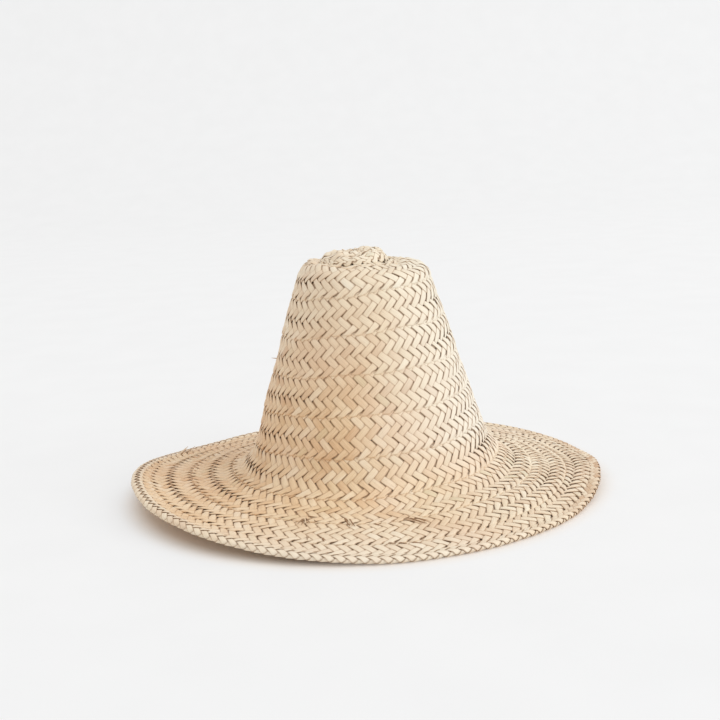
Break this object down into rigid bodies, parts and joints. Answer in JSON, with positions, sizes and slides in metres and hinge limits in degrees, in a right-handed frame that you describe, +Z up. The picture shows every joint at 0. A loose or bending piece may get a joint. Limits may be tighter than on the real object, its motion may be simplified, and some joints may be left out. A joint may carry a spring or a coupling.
{
  "type": "conical hat",
  "caption": "Conical sun hat of plaited palm leaf with a tall tapered crown, a low domed tip and a wide, gently waved brim.",
  "frame": {"origin": "centre of the rim's circle, on the surface that the brim stands on", "axes": "+Z up through the crown, -Y to the front of the hat, +X to its right as seen from the front"},
  "size_m": [0.3686, 0.3686, 0.186],
  "materials": {
    "crown_plait": "dry natural palm leaf, satin",
    "brim_plait": "dry natural palm leaf, satin",
    "tip_plait": "dry natural palm leaf, satin",
    "rim_plait": "dry natural palm leaf, satin",
    "lacing_strand": "dry twisted palm leaf, matt"
  },
  "bodies": {
    "root": {"tip_coil": "tip_plait", "tip_lacing": "lacing_strand", "crown_plait_turn_1": "crown_plait", "crown_plait_turn_2": "crown_plait", "crown_plait_turn_3": "crown_plait", "crown_plait_turn_4": "crown_plait", "crown_plait_turn_5": "crown_plait", "crown_plait_turn_6": "crown_plait", "crown_seam_lacing_1": "lacing_strand", "crown_seam_lacing_2": "lacing_strand", "crown_seam_lacing_3": "lacing_strand", "crown_seam_lacing_4": "lacing_strand", "crown_seam_lacing_5": "lacing_strand", "crown_seam_lacing_6": "lacing_strand", "brim_plait_turn_1": "brim_plait", "brim_plait_turn_2": "brim_plait", "brim_plait_turn_3": "brim_plait", "brim_plait_turn_4": "brim_plait", "brim_seam_lacing_1": "lacing_strand", "brim_seam_lacing_2": "lacing_strand", "brim_seam_lacing_3": "lacing_strand", "rim_plait": "rim_plait", "rim_lacing": "lacing_strand"}
  },
  "joints": []
}
